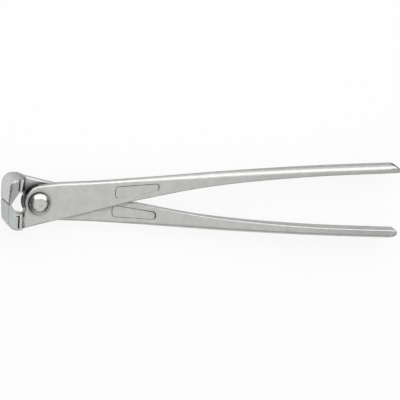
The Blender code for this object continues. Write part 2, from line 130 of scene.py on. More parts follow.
# Handles: the edges of one half's handle in the plane of the tool, at these distances from the rivet
NECK_X = 0.0130
WAIST_X = 0.0385
CROSSING_X = 0.0620
MIDDLE_X = 0.1100
GRIP_X = 0.1680
HANDLE_REACH = 0.2292
NECK_OUTER_Y = 0.0123
WAIST_OUTER_Y = 0.01335
CROSSING_OUTER_Y = 0.0150
MIDDLE_OUTER_Y = 0.0185
GRIP_OUTER_Y = 0.0213
END_OUTER_Y = 0.0234
NECK_INNER_Y = -0.0105
WAIST_INNER_Y = -0.0042
CROSSING_INNER_Y = 0.0014
MIDDLE_INNER_Y = 0.0101
GRIP_INNER_Y = 0.0155
END_INNER_Y = 0.0181
GRIP_THICKNESS = 0.0120
GRIP_FULL_X = 0.2000
NECK_INNER_ROUND = 0.0015
INNER_ROUND = 0.0008
NECK_OUTER_ROUND = 0.0018
GRIP_OUTER_ROUND = 0.0034
END_CORNER_LENGTH = 0.0070
END_CORNER_HEIGHT = 0.0034
END_INNER_CORNER = 0.0012
END_ROUND = 0.0010
END_ROUND_LENGTH = 0.0080

# Bare recessed panel on both faces of each handle
PANEL_START_X = 0.0477
PANEL_END_X = 0.0757
PANEL_BORDER = 0.0038
PANEL_START_HEIGHT = 0.0078
PANEL_END_HEIGHT = 0.0051
PANEL_CORNER = 0.0026
PANEL_CORNER_SHARE = 0.45
PANEL_DEPTH = 0.0004
PANEL_SLOPE = 0.0005

# How finely curves are cut
HANDLE_STEPS = 90
RIM_STEPS = 40
CORNER_STEPS = 10
ROUND_STEPS = 6
RIVET_SIDES = 128
DOME_STEPS = 16
FLAT_RINGS = 4

# The least cosine that a mitre is worked out with, so that it is at most twice as long as its offset
LEAST_MITRE_COSINE = 0.5

# Rounded edges of the jaw, and the angle from which an edge of any piece is shown sharp
JAW_EDGE_ROUND = 0.00028
JAW_EDGE_STEPS = 3
JAW_EDGE_ANGLE = math.radians(28)
SHARP_ANGLE = math.radians(32)

HALF_WIDTH = JAW_WIDTH / 2
LAP_FACE = FIT_GAP / 2

# A half's steels, in the order of its material slots. The jaw's front, the engraved edges, the lip, the walls
# and the handle sides take copies painted with light or shade
PLATED_SLOT, GROUND_SLOT, MILLED_SLOT, JAW_SLOT, ENGRAVED_EDGE_SHADE_SLOT, LIP_HIGHLIGHT_SLOT, WALL_SHADE_SLOT, SIDE_SHADE_SLOT = range(8)

# Which steel a face of a half gets, by its normal and its place. The rim's run-out is an angle
FLAT_NORMAL_Z = 0.95
ENGRAVED_NORMAL_Z = 0.25
JAW_FRONT_NORMAL = -0.3
JAW_SHOULDER_END_X = JAW_ROOT_X + 0.001
LIP_BACK_END_X = LIP_END_X + 0.001
LIP_NORMAL_Z = -0.85
LIP_NORMAL_X = (0.15, 0.5)
RIM_NORMAL_Z = 0.3
RIM_TOLERANCE = 0.0004
RIM_RUN_OUT = 0.3
VALLEY_START_X = WALL_TOP_THROAT_X - 0.0005
VALLEY_END_X = WALL_FOOT_X + 0.0010
VALLEY_NORMAL_X = 0.5
VALLEY_NORMAL_Z = -0.15
CUT_END_NORMAL_X = 0.12
CUT_END_NORMAL_Y = 0.20
HANDLE_SIDE_NORMAL_Y = 0.5
HANDLE_SIDE_NORMAL_Z = 0.35

# Wear, painted light and surface that all the steels share. A bevelled normal that turns from its face shows
# a worn edge, lightened as wear and as a painted highlight
EDGE_RADIUS = 0.00028
EDGE_SAMPLES = 6
EDGE_WEAR_AND_HIGHLIGHT = (0.80, 0.985)
# Crevices are darkened as painted shade, found with these samples, and are also made duller
CREVICE_SAMPLES = 10
CREVICE_DULLNESS = 0.15
# Span along X over which painted shade darkens the rear jaw's front towards its root
ROOT_SHADE_X = (-0.0185, -0.0100)
NOISE_MIDDLE = (0.35, 0.65)
PATCH_DETAIL = 4.0
GRAIN_DETAIL = 5.0
DULL_PATCH_SCALE = 420
DULL_PATCH_DETAIL = 3.0
BRIGHTER_PATCHES = 0.05
DULLER_PATCHES = 0.06

# Looks: colours, the painted shade in crevices and how far it reaches, patches, grain, and the tint of
# grazing reflections
PLATED = {
    "dark": (0.515, 0.52, 0.50),
    "light": (0.565, 0.57, 0.548),
    "wear_and_highlight": (0.70, 0.70, 0.68),
    "crevice_shade": (0.06, 0.06, 0.055),
    "crevice_shade_range": (0.40, 0.90),
    "crevice_shade_reach": 0.0045,
    "roughness": 0.38,
    "patch_scale": 260,
    "grain": 900,
    "depth": 0.000004,
    "stretch": (1, 1, 1),
    "grazing": (1, 1, 1),
}
GROUND = {
    **PLATED,
    "dark": (0.48, 0.495, 0.51),
    "light": (0.54, 0.555, 0.565),
    "roughness": 0.30,
    "grain": 1500,
    "stretch": (1, 0.05, 1),
}
MILLED = {
    **GROUND,
    "dark": (0.31, 0.315, 0.31),
    "light": (0.40, 0.405, 0.40),
    "patch_scale": 900,
}
# Painted shade: the panel's sloped edges are painted darker than the flat faces
ENGRAVED_EDGE_SHADE = {
    **PLATED,
    "dark": (0.22, 0.225, 0.215),
    "light": (0.27, 0.275, 0.265),
    "wear_and_highlight": (0.40, 0.40, 0.39),
}
# Painted light: the rear jaw's front is a lighter copy of the plated steel, with painted shade towards the
# root
REAR_JAW_LIT_AND_SHADED = {
    **PLATED,
    "wear_and_highlight": (0.62, 0.63, 0.62),
    "dark": (0.55, 0.56, 0.555),
    "light": (0.60, 0.61, 0.60),
    "root_shade": (0.20, 0.205, 0.20),
}
# Painted shade: the handles' side walls are painted darker than the flat faces
HANDLE_SIDE_SHADE = {
    **PLATED,
    "dark": (0.30, 0.305, 0.30),
    "light": (0.37, 0.375, 0.365),
}
# Painted shade: the rim walls, the handles' cut ends and the valley walls are painted dark, with dimmer
# grazing reflections
WALL_SHADE = {
    **PLATED,
    "dark": (0.10, 0.105, 0.10),
    "light": (0.15, 0.155, 0.15),
    "wear_and_highlight": (0.30, 0.30, 0.29),
    "grazing": (0.40, 0.40, 0.40),
}
# Painted highlight: the lip is painted lighter than the steel around it
LIP_HIGHLIGHT = {
    **PLATED,
    "dark": (0.70, 0.71, 0.70),
    "light": (0.76, 0.77, 0.76),
    "crevice_shade_range": (0.10, 0.50),
}
# Painted shade: the front jaw's front is a darker copy of the plated steel
FRONT_JAW_SHADED = {
    **PLATED,
    "dark": (0.39, 0.42, 0.41),
    "light": (0.47, 0.50, 0.49),
}
RIVET = {
    **PLATED,
    "dark": (0.48, 0.495, 0.46),
    "light": (0.60, 0.61, 0.585),
    "crevice_shade_range": (0.50, 0.90),
    "crevice_shade_reach": 0.0018,
    "grazing": (0.45, 0.45, 0.43),
    "patch_scale": 600,
    "roughness": 0.25,
    "grain": 1000,
    "depth": 0.000006,
}

# Camera: the direction back to it, what it aims at, and the pixel of the photograph on which that point falls
IMAGE_SIZE = 400
SENSOR_WIDTH = 36
MILLIMETRES_IN_METRE = 1000
CAMERA_BACK = (-0.2467, 0.1957, 0.9491)
CAMERA_UP = (0.0031, 0.9795, -0.2012)
CAMERA_AIM = (0.104, 0.0, 0.011)
CAMERA_DISTANCE = 5.0
CAMERA_CLIP_END = 100
PIXELS_PER_MILLIMETRE = 1.621
AIM_PIXEL = (200.90, 200.57)

# Floor just under the rivet's lower head, and the share of it that glows for the camera and the reflections
FLOOR_SIZE = 12
FLOOR_CENTRE = (0.1, 0, -0.0001)
FLOOR_COLOUR = (0.94, 0.94, 0.94)
FLOOR_ROUGHNESS = 0.9
FLOOR_GLOW = 0.86

# Brightness of the studio by direction: levels and shares, and the range over which each comes in
HORIZON_LEVEL = 0.22
ZENITH_LEVEL = 0.52
SKY_RISE = (0.40, 0.85)
JAW_SIDE_SHARE = 0.30
JAW_SIDE_RANGE = (-0.85, -0.45)
END_SIDE_SHARE = 0.25
END_SIDE_RANGE = (0.30, 0.60)
END_SIDE_RISE = (0.35, 0.60)
FRONT_SIDE_LEVEL = 0.36
FRONT_SIDE_RANGE = (-0.90, -0.45)

# Softboxes: name, place, what it faces, width, height and radiance
SOFTBOXES = (
    ("back_softbox", (0.30, 1.10, 0.80), (0.08, 0, 0), 3.0, 1.5, 1.8),
    ("front_softbox", (0.28, -1.00, 0.85), (0.08, 0, 0), 1.0, 0.6, 0.6),
    ("end_softbox", (0.88, -0.24, 0.78), (0, 0, 0), 0.45, 0.40, 0.6),
    ("top_softbox", (0, -0.06, 0.36), (0, -0.06, 0), 0.52, 0.50, 0.45),
)


def smooth_between(values, along):
    """A smooth curve's height at a distance along it, through (distance, height) values in order."""
    last = len(values) - 1
    step = 0
    while step < last - 1 and along > values[step + 1][0]:
        step += 1
    (x0, y0), (x1, y1) = values[step], values[step + 1]
    before = values[max(step - 1, 0)]
    after = values[min(step + 2, last)]
    slope0 = (y1 - before[1]) / (x1 - before[0])
    slope1 = (after[1] - y0) / (after[0] - x0)
    span = x1 - x0
    t = (along - x0) / span
    return (
        (2 * t**3 - 3 * t**2 + 1) * y0
        + (t**3 - 2 * t**2 + t) * span * slope0
        + (3 * t**2 - 2 * t**3) * y1
        + (t**3 - t**2) * span * slope1
    )


def outer_edge(along):
    """The handle's outer edge, on the side away from the other handle."""
    values = (
        (NECK_X, NECK_OUTER_Y),
        (WAIST_X, WAIST_OUTER_Y),
        (CROSSING_X, CROSSING_OUTER_Y),
        (MIDDLE_X, MIDDLE_OUTER_Y),
        (GRIP_X, GRIP_OUTER_Y),
        (HANDLE_REACH, END_OUTER_Y),
    )
    return smooth_between(values, along)


def inner_edge(along):
    """The handle's inner edge, facing the other handle."""
    values = (
        (NECK_X, NECK_INNER_Y),
        (WAIST_X, WAIST_INNER_Y),
        (CROSSING_X, CROSSING_INNER_Y),
        (MIDDLE_X, MIDDLE_INNER_Y),
        (GRIP_X, GRIP_INNER_Y),
        (HANDLE_REACH, END_INNER_Y),
    )
    return smooth_between(values, along)


def ease(start, end, along):
    """From 0 at start to 1 at end, level at both."""
    t = min(max((along - start) / (end - start), 0.0), 1.0)
    return t * t * (3 - 2 * t)


def upper_face(along):
    """Height of the half's outward face over the lap plane."""
    return PLATE_THICKNESS + (GRIP_THICKNESS / 2 - PLATE_THICKNESS) * ease(CROSSING_X, GRIP_FULL_X, along)


def lower_face(along):
    """Height of the face on the lap side, which sinks past the lap plane towards the grip."""
    return LAP_FACE - (GRIP_THICKNESS / 2 + LAP_FACE) * ease(CROSSING_X, GRIP_FULL_X, along)


def outer_round(along):
    """Edge rounding along the outer side, which grows from the rim to the grip and is small at the end."""
    near = RIM_ROUND + (NECK_OUTER_ROUND - RIM_ROUND) * ease(RIM_ROUND_END_X, NECK_X, along)
    full = near + (GRIP_OUTER_ROUND - near) * ease(WAIST_X, MIDDLE_X, along)
    return full + (END_ROUND - full) * ease(HANDLE_REACH - END_ROUND_LENGTH, HANDLE_REACH, along)


def arc(centre, radii, start, end, steps):
    """Points on an ellipse's arc, both ends included."""
    points = []
    for step in range(steps + 1):
        angle = start + (end - start) * step / steps
        points.append((centre[0] + radii[0] * math.cos(angle), centre[1] + radii[1] * math.sin(angle)))
    return points


def spread(start, end, steps):
    """Evenly spaced distances, the start included and the end left out."""
    return [start + (end - start) * step / steps for step in range(steps)]


def bend(corner, toward_last, toward_next):
    """Points round a corner, from one distance before it to another after it."""
    points = []
    for step in range(CORNER_STEPS + 1):
        t = step / CORNER_STEPS
        point = corner + toward_last * (1 - t) ** 2 + toward_next * t**2
        points.append((point.x, point.y))
    return points


def flare(foot, rim_point):
    """Points on the curve from the jaw's root up to where the round rim starts, without its last one."""
    reach = (rim_point - foot).length
    foot_pull = foot + Vector((0, 1)) * reach * FLARE_FOOT_PULL
    rim_pull = rim_point + Vector((-math.sin(RIM_END), math.cos(RIM_END))) * reach * FLARE_RIM_PULL
    points = []
    for step in range(CORNER_STEPS):
        t = step / CORNER_STEPS
        shares = ((1 - t) ** 3, 3 * t * (1 - t) ** 2, 3 * t**2 * (1 - t), t**3)
        point = foot * shares[0] + foot_pull * shares[1] + rim_pull * shares[2] + rim_point * shares[3]
        points.append((point.x, point.y))
    return points


def outer_chain():
    """The arm's outline from inside the jaw, over the rim round the rivet and along the outer edge."""
    rim = arc((RIM_CENTRE_X, RIM_CENTRE_Y), (RIM_RADIUS, RIM_RADIUS), RIM_END, RIM_START, RIM_STEPS)
    inside_x = JAW_ROOT_X - JAW_OVERLAP
    foot = Vector((JAW_ROOT_X, -THROAT_LAP_HALF_HEIGHT - JAW_OVERLAP / 4))
    root = [
        (inside_x, -JAW_LAP_HALF_HEIGHT + JAW_OVERLAP),
        (inside_x, -THROAT_LAP_HALF_HEIGHT - JAW_OVERLAP),
        *flare(foot, Vector(rim[0])),
    ]
    chain = [(point, outer_round(point[0])) for point in root + rim]
    end_start = HANDLE_REACH - END_CORNER_LENGTH
    for along in spread(NECK_X, end_start, HANDLE_STEPS):
        chain.append(((along, outer_edge(along)), outer_round(along)))
    centre = (end_start, outer_edge(end_start) - END_CORNER_HEIGHT)
    for point in arc(centre, (END_CORNER_LENGTH, END_CORNER_HEIGHT), math.pi / 2, 0, CORNER_STEPS):
        chain.append((point, outer_round(point[0])))
    return chain


def neck_line(along):
    """The straight edge from the jaw's shoulder to the neck."""
    start = -JAW_HALF_HEIGHT + NECK_INSET
    share = (along - JAW_ROOT_X) / (NECK_X - JAW_ROOT_X)
    return start + (NECK_INNER_Y - start) * share


def neck_round(along):
    """Edge rounding from the shoulder to the neck, where it comes down to that of the inner edge."""
    return NECK_INNER_ROUND + (INNER_ROUND - NECK_INNER_ROUND) * ease(0, NECK_X, along)


def inner_chain(count):
    """The arm's outline along its inner edge, paired point by point with the outer chain."""
    corner_start = HANDLE_REACH - END_INNER_CORNER
    neck_steps = count - HANDLE_STEPS - CORNER_STEPS - 1
    chain = []
    for along in spread(JAW_ROOT_X, NECK_X, neck_steps)[1:]:
        chain.append(((along, neck_line(along)), neck_round(along)))
    for along in spread(NECK_X, corner_start, HANDLE_STEPS):
        chain.append(((along, inner_edge(along)), INNER_ROUND))
    centre = (corner_start, inner_edge(corner_start) + END_INNER_CORNER)
    corner = arc(centre, (END_INNER_CORNER, END_INNER_CORNER), -math.pi / 2, 0, CORNER_STEPS)
    for point in corner:
        chain.append((point, INNER_ROUND))
    return chain


def inward(outline, index):
    """The direction into the outline at one of its corners, as long as a mitre needs."""
    point = Vector(outline[index])
    before = (point - Vector(outline[index - 1])).normalized()
    after = (Vector(outline[(index + 1) % len(outline)]) - point).normalized()
    normals = [Vector((-edge.y, edge.x)) for edge in (before, after)]
    middle = (normals[0] + normals[1]).normalized()
    return middle / max(middle.dot(normals[0]), LEAST_MITRE_COSINE)


def arm_ring(around, directions, side, angle):
    """The arm's outline at one angle of its edge rounding, on its upper side (1) or its lower side (-1)."""
    ring = []
    for (point, rounding), direction in zip(around, directions):
        offset = direction * rounding * (1 - math.cos(angle))
        rise = rounding * (1 - math.sin(angle))
        along = point[0]
        height = upper_face(along) - rise if side > 0 else lower_face(along) + rise
        ring.append((along + offset.x, point[1] + offset.y, height))
    return ring


def arm_mesh():
    """The plate at the joint and the handle, as one slab with rounded edges."""
    mesh = bmesh.new()
    outer = outer_chain()
    inner = inner_chain(len(outer))
    around = inner + outer[::-1]
    outline = [point for point, _ in around]
    directions = [inward(outline, index) for index in range(len(outline))]
    rings = []
    for side in (-1, 1):
        for step in range(ROUND_STEPS + 1):
            angle = math.pi / 2 * (step if side > 0 else ROUND_STEPS - step) / ROUND_STEPS
            ring = arm_ring(around, directions, side, angle)
            rings.append([mesh.verts.new(place) for place in ring])
    join_rings(mesh, rings)
    for ring, turned in ((rings[0], True), (rings[-1], False)):
        cap_ring(mesh, ring, len(inner), turned)
    return mesh


def join_rings(mesh, rings):
    """A band of four-sided faces between each ring of points and the next."""
    for low, high in zip(rings, rings[1:]):
        for index in range(len(low)):
            following = (index + 1) % len(low)
            mesh.faces.new((low[index], low[following], high[following], high[index]))


def cap_ring(mesh, ring, inner_count, turned):
    """Close one side of the arm with a ladder of faces between its inner and outer chains."""
    inner = ring[:inner_count]
    outer = ring[inner_count:][::-1]
    pairs = list(zip(inner, outer[1:]))
    faces = [(outer[0], inner[0], outer[1])]
    for (low, high), (next_low, next_high) in zip(pairs, pairs[1:]):
        faces.append((low, next_low, next_high, high))
    for face in faces:
        mesh.faces.new(face[::-1] if turned else face)


def loft(levels):
    """A closed solid through like outlines, given as (height along Z, outline) pairs from the lowest up."""
    mesh = bmesh.new()
    rings = []
    for height, outline in levels:
        rings.append([mesh.verts.new((x, y, height)) for x, y in outline])
    join_rings(mesh, rings)
    mesh.faces.new(rings[0][::-1])
    mesh.faces.new(rings[-1])
    bmesh.ops.recalc_face_normals(mesh, faces=mesh.faces)
    return mesh


def prism(outline, low, high):
    """A closed solid over one outline, between two levels along Z."""
    return loft([(low, outline), (high, outline)])


def jaw_outline(edge_reach, corner, shoulder, throat_half_height):
    """The jaw seen along the rivet: its front, its rounded shoulder, the throat and the cutting edge.

    The corner is given as how far its front reaches, how long it is and how high the front goes before it.
    """
    reach, corner_length, straight = corner
    seam = -SEAM_GAP / 2
    inside_plate = WALL_FOOT_X + RIM_ROUND
    corner_centre = (corner_length - reach, -straight)
    corner_radii = (corner_length, shoulder - straight)
    edge_back = EDGE_CHAMFER + EDGE_LAND - JAW_REACH
    throat_corner = Vector((edge_back + throat_half_height / math.tan(EDGE_BEVEL), -throat_half_height))
    toward_edge = (Vector((edge_back, seam)) - throat_corner).normalized() * THROAT_CORNER
    points = [(EDGE_CHAMFER - edge_reach, seam), (-edge_reach, seam - EDGE_CHAMFER)]
    points += arc(corner_centre, corner_radii, math.pi, 1.5 * math.pi, 2 * CORNER_STEPS)
    points += [
        (JAW_ROOT_X, -shoulder),
        (inside_plate, -shoulder + JAW_OVERLAP),
        (inside_plate, -throat_half_height),
    ]
    points += bend(throat_corner, Vector((THROAT_CORNER, 0)), toward_edge)
    points.append((edge_back, seam))
    return points


def jaw_levels():
    """The jaw's outlines from its lap side to its plate side, as the loft takes them."""
    flat_corner = (JAW_LAP_REACH - CHAMFER_WIDTH, JAW_LAP_CORNER_LENGTH, JAW_LAP_STRAIGHT)
    lap_corner = (JAW_LAP_REACH, JAW_LAP_CORNER_LENGTH, JAW_LAP_STRAIGHT)
    plate_corner = (JAW_REACH, JAW_CORNER_LENGTH, JAW_FRONT_STRAIGHT)
    flat_shoulder = JAW_LAP_HALF_HEIGHT - CHAMFER_SHOULDER_WIDTH
    middle_throat = (THROAT_HALF_HEIGHT + THROAT_LAP_HALF_HEIGHT) / 2
    levels = [
        (
            -HALF_WIDTH,
            jaw_outline(JAW_REACH - CHAMFER_EDGE_WIDTH, flat_corner, flat_shoulder, THROAT_LAP_HALF_HEIGHT),
        ),
        (
            CHAMFER_HEIGHT - HALF_WIDTH,
            jaw_outline(JAW_REACH, lap_corner, JAW_LAP_HALF_HEIGHT, THROAT_LAP_HALF_HEIGHT),
        ),
        (0, jaw_outline(JAW_REACH, plate_corner, JAW_HALF_HEIGHT, middle_throat)),
    ]
    for step in range(ROUND_STEPS + 1):
        angle = math.pi / 2 * step / ROUND_STEPS
        share = 1 - math.cos(angle)
        reach = JAW_REACH - SIDE_ROUND_WIDTH * share
        corner = (reach, JAW_CORNER_LENGTH, JAW_FRONT_STRAIGHT)
        shoulder = JAW_HALF_HEIGHT - SIDE_ROUND_SHOULDER_WIDTH * share
        height = HALF_WIDTH - SIDE_ROUND_HEIGHT * (1 - math.sin(angle))
        levels.append((height, jaw_outline(reach, corner, shoulder, THROAT_HALF_HEIGHT)))
    return levels


def plate_side_profile():
    """What is cut off the jaw's plate side behind the ground part, drawn across X and Z."""
    beyond_z = 2 * HALF_WIDTH
    step_z = HALF_WIDTH - GROUND_STEP
    inside_plate = PLATE_THICKNESS - JAW_OVERLAP
    return [
        (GROUND_SIDE_END_X, beyond_z),
        (GROUND_SIDE_END_X, step_z),
        (LIP_END_X, step_z),
        (LIP_FOOT_X, inside_plate),
        (NECK_X, inside_plate),
        (NECK_X, beyond_z),
    ]


def lap_side_profile(wall_top_x):
    """What is cut off the jaw's lap side, down a wall to the lap plane, drawn across X and Z."""
    beyond_z = 2 * HALF_WIDTH
    step_z = HALF_WIDTH - GROUND_STEP
    foot_centre = (WALL_FOOT_X, LAP_FACE + FOOT_OVERLAP - WALL_FOOT_ROUND)
    foot_radii = (WALL_FOOT_ROUND, WALL_FOOT_ROUND)
    return [
        (GROUND_SIDE_END_X, -beyond_z),
        (GROUND_SIDE_END_X, -step_z),
        (wall_top_x, -step_z + WALL_TOP_DROP),
        *arc(foot_centre, foot_radii, WALL_LEAN, math.pi / 2, CORNER_STEPS),
        (WALL_FOOT_X + RIM_ROUND / 2, PLATE_THICKNESS / 2),
        (NECK_X, PLATE_THICKNESS / 2),
        (NECK_X, -beyond_z),
    ]


def side_cutters():
    """The cutters behind the jaw's two flat sides. The wall on the lap side leans back towards the throat."""
    beyond_y = 2 * JAW_HALF_HEIGHT
    plate_side = plate_side_profile()
    at_throat = lap_side_profile(WALL_TOP_THROAT_X)
    at_shoulder = lap_side_profile(WALL_TOP_X)
    cutters = []
    for levels in (
        [(-beyond_y, plate_side), (beyond_y, plate_side)],
        [
            (-beyond_y, at_throat),
            (THROAT_HALF_HEIGHT, at_throat),
            (JAW_HALF_HEIGHT, at_shoulder),
            (beyond_y, at_shoulder),
        ],
    ):
        cutter = standing(loft(levels))
        bmesh.ops.recalc_face_normals(cutter, faces=cutter.faces)
        cutters.append(as_object("side_cut", cutter))
    return cutters


def pocket(side, half_height, throat_half_height):
    """The narrow pocket in one side of the jaw, as a cutter."""
    end_x = POCKET_START_X + (POCKET_WIDTH if side > 0 else POCKET_LAP_WIDTH)
    throat_y = -throat_half_height - POCKET_THROAT_WALL
    if side > 0:
        shoulder_y = -half_height + POCKET_SHOULDER_WALL
        hook_x = POCKET_START_X - POCKET_HOOK
        hook_y = throat_y - POCKET_HOOK_WIDTH
        outline = [(POCKET_START_X, shoulder_y), (end_x, shoulder_y), (end_x, throat_y)]
        outline += [(hook_x, throat_y), (hook_x, hook_y), (POCKET_START_X, hook_y)]
    else:
        beyond_y = -half_height - POCKET_SHOULDER_WALL
        outline = [(POCKET_START_X, beyond_y), (end_x, beyond_y)]
        outline += [(end_x - POCKET_LAP_LEAN, throat_y), (POCKET_START_X - POCKET_LAP_LEAN, throat_y)]
    low, high = sorted((side * (HALF_WIDTH - POCKET_DEPTH), side * 2 * HALF_WIDTH))
    return prism(outline, low, high)


def as_object(name, mesh):
    """A named object made from a working mesh."""
    data = bpy.data.meshes.new(name)
    mesh.to_mesh(data)
    mesh.free()
    made = bpy.data.objects.new(name, data)
    bpy.context.collection.objects.link(made)
    return made


def apply_modifiers(base):
    """Put an object's mesh as its modifiers shape it in place of its own."""
    bpy.context.view_layer.update()
    graph = bpy.context.evaluated_depsgraph_get()
    data = bpy.data.meshes.new_from_object(base.evaluated_get(graph))
    base.modifiers.clear()
    base.data = data


def combine(base, operation, tools):
    """Join shapes to an object or cut them from it, for good."""
    for tool in tools:
        modifier = base.modifiers.new(operation.lower(), "BOOLEAN")
        modifier.operation = operation
        modifier.solver = "MANIFOLD"
        modifier.object = tool
    apply_modifiers(base)
    for tool in tools:
        bpy.data.objects.remove(tool, do_unlink=True)


def round_edges(base, width, steps):
    """Round the edges at which an object's faces turn sharply."""
    modifier = base.modifiers.new("round", "BEVEL")
    modifier.width = width
    modifier.segments = steps
    modifier.limit_method = "ANGLE"
    modifier.angle_limit = JAW_EDGE_ANGLE
    apply_modifiers(base)


def panel_outline(margin):
    """The recessed panel's rounded outline, drawn in by a margin. It follows the handle's outer edge."""
    start_x = PANEL_START_X + margin
    end_x = PANEL_END_X - margin
    start_y = outer_edge(start_x) - PANEL_BORDER
    end_y = outer_edge(end_x) - PANEL_BORDER
    corners = [
        Vector((start_x, start_y - PANEL_START_HEIGHT + margin)),
        Vector((end_x, end_y - PANEL_END_HEIGHT + margin)),
        Vector((end_x, end_y - margin)),
        Vector((start_x, start_y - margin)),
    ]
    points = []
    for index, corner in enumerate(corners):
        toward_last, toward_next = (
            side.normalized() * min(PANEL_CORNER, side.length * PANEL_CORNER_SHARE)
            for side in (corners[index - 1] - corner, corners[(index + 1) % 4] - corner)
        )
        points += bend(corner, toward_last, toward_next)
    return points


def panel(face):
    """The cutter for the recessed panel on one face of the handle, with sloping walls."""
    surface = upper_face(PANEL_START_X) if face > 0 else lower_face(PANEL_START_X)
    levels = [
        (surface - face * PANEL_DEPTH, panel_outline(PANEL_SLOPE)),
        (surface + face * PANEL_DEPTH, panel_outline(-PANEL_SLOPE)),
    ]
    return loft(levels[::face])


def circle(radius):
    """Points on a circle round the rivet's axis."""
    return arc((0, 0), (radius, radius), 0, 2 * math.pi, RIVET_SIDES)[:-1]


def cylinder(radius, low, high):
    """A round cutter on the rivet's axis."""
    return prism(circle(radius), low, high)


def standing(mesh):
    """Turn a shape that was drawn across X and Y so that it lies across X and Z, its levels along Y."""
    bmesh.ops.transform(mesh, matrix=Matrix.Rotation(math.pi / 2, 4, "X"), verts=mesh.verts)
    return mesh


def half(name):
    """One forged half: jaw, plate at the joint and handle, with its rivet hole, seats and panels."""
    body = as_object(name, arm_mesh())
    jaw = as_object("jaw", loft(jaw_levels()))
    sides = side_cutters()
    sides.append(as_object("pocket_cut", pocket(1, JAW_HALF_HEIGHT, THROAT_HALF_HEIGHT)))
    sides.append(as_object("pocket_cut", pocket(-1, JAW_LAP_HALF_HEIGHT, THROAT_LAP_HALF_HEIGHT)))
    combine(jaw, "DIFFERENCE", sides)
    round_edges(jaw, JAW_EDGE_ROUND, JAW_EDGE_STEPS)
    combine(body, "UNION", [jaw])
    bore = cylinder(SHANK_RADIUS + FIT_GAP, -PLATE_THICKNESS, 2 * PLATE_THICKNESS)
    seat = cylinder(HEAD_RADIUS + FIT_GAP, PLATE_THICKNESS - HEAD_SEAT_DEPTH, 2 * PLATE_THICKNESS)
    cuts = [as_object("bore", bore), as_object("seat", seat)]
    for face in (1, -1):
        cuts.append(as_object("panel_cut", panel(face)))
    combine(body, "DIFFERENCE", cuts)
    return body


def rivet_profile():
    """The rivet's upper half in section: (radius, height over the lap plane), from its middle to its top."""
    seat = PLATE_THICKNESS - HEAD_SEAT_DEPTH + FIT_GAP
    crown_height = HALF_WIDTH - PLATE_THICKNESS - HEAD_RIM_HEIGHT
    crown_width = HEAD_RADIUS - HEAD_FLAT_RADIUS
    height_scale = crown_height / (math.cos(CROWN_TOP_SLOPE) - math.cos(CROWN_RIM_SLOPE))
    width_scale = crown_width / (math.sin(CROWN_RIM_SLOPE) - math.sin(CROWN_TOP_SLOPE))
    points = [(SHANK_RADIUS, 0.0), (SHANK_RADIUS, seat), (HEAD_RADIUS, seat)]
    for step in range(DOME_STEPS + 1):
        slope = CROWN_RIM_SLOPE + (CROWN_TOP_SLOPE - CROWN_RIM_SLOPE) * step / DOME_STEPS
        radius = HEAD_FLAT_RADIUS + width_scale * (math.sin(slope) - math.sin(CROWN_TOP_SLOPE))
        points.append((radius, HALF_WIDTH - height_scale * (math.cos(CROWN_TOP_SLOPE) - math.cos(slope))))
    for step in range(FLAT_RINGS - 1, 0, -1):
        points.append((HEAD_FLAT_RADIUS * step / FLAT_RINGS, HALF_WIDTH))
    return points


def rivet(name):
    """The rivet, headed alike at both ends, turned about its axis."""
    upper = rivet_profile()
    lower = [(radius, -height) for radius, height in upper[:0:-1]]
    return as_object(name, loft([(height, circle(radius)) for radius, height in lower + upper]))


class Nodes:
    """Adds nodes to one shader tree and links them."""

    def __init__(self, tree):
        """Work on the given tree."""
        self.tree = tree

    def add(self, kind, **settings):
        """A new node with these settings."""
        node = self.tree.nodes.new(kind)
        for setting, value in settings.items():
            setattr(node, setting, value)
        return node

    def link(self, source, target):
        """Lead one node's output into another's input."""
        self.tree.links.new(source, target)

    def coordinates(self, kind):
        """The X, Y and Z of one kind of texture coordinate."""
        place = self.add("ShaderNodeTexCoord")
        split = self.add("ShaderNodeSeparateXYZ")
        self.link(place.outputs[kind], split.inputs[0])
        return split.outputs

    def noise(self, scale, detail, stretch=(1, 1, 1)):
        """Noise fixed to the object, from 0 to 1."""
        place = self.add("ShaderNodeTexCoord")
        mapping = self.add("ShaderNodeMapping")
        mapping.inputs["Scale"].default_value = stretch
        texture = self.add("ShaderNodeTexNoise")
        texture.inputs["Scale"].default_value = scale
        texture.inputs["Detail"].default_value = detail
        self.link(place.outputs["Object"], mapping.inputs["Vector"])
        self.link(mapping.outputs["Vector"], texture.inputs["Vector"])
        return texture.outputs["Fac"]

    def blend(self, share, first, second):
        """A mix of two colours, each a fixed one or a node's output. A share of 1 gives the second."""
        node = self.add("ShaderNodeMix", data_type="RGBA")
        self.link(share, node.inputs[0])
        # For colours the node takes its inputs 6 and 7 and gives its output 2
        for socket, value in ((node.inputs[6], first), (node.inputs[7], second)):
            if isinstance(value, tuple):
                socket.default_value = (*value, 1)
            else:
                self.link(value, socket)
        return node.outputs[2]

    def ramp(self, source, low, high, limits):
        """A value that goes straight from low to high while the source crosses the limits."""
        node = self.add("ShaderNodeMapRange")
        node.inputs["From Min"].default_value = limits[0]
        node.inputs["From Max"].default_value = limits[1]
        node.inputs["To Min"].default_value = low
        node.inputs["To Max"].default_value = high
        self.link(source, node.inputs["Value"])
        return node.outputs["Result"]

    def maths(self, operation, *values):
        """The result of an operation on fixed numbers or nodes' outputs."""
        node = self.add("ShaderNodeMath", operation=operation)
        for socket, value in zip(node.inputs, values):
            if isinstance(value, (int, float)):
                socket.default_value = value
            else:
                self.link(value, socket)
        return node.outputs[0]


def new_material(name):
    """A new material, with its nodes and its shader."""
    material = bpy.data.materials.new(name)
    material.use_nodes = True
    return material, Nodes(material.node_tree), material.node_tree.nodes["Principled BSDF"]


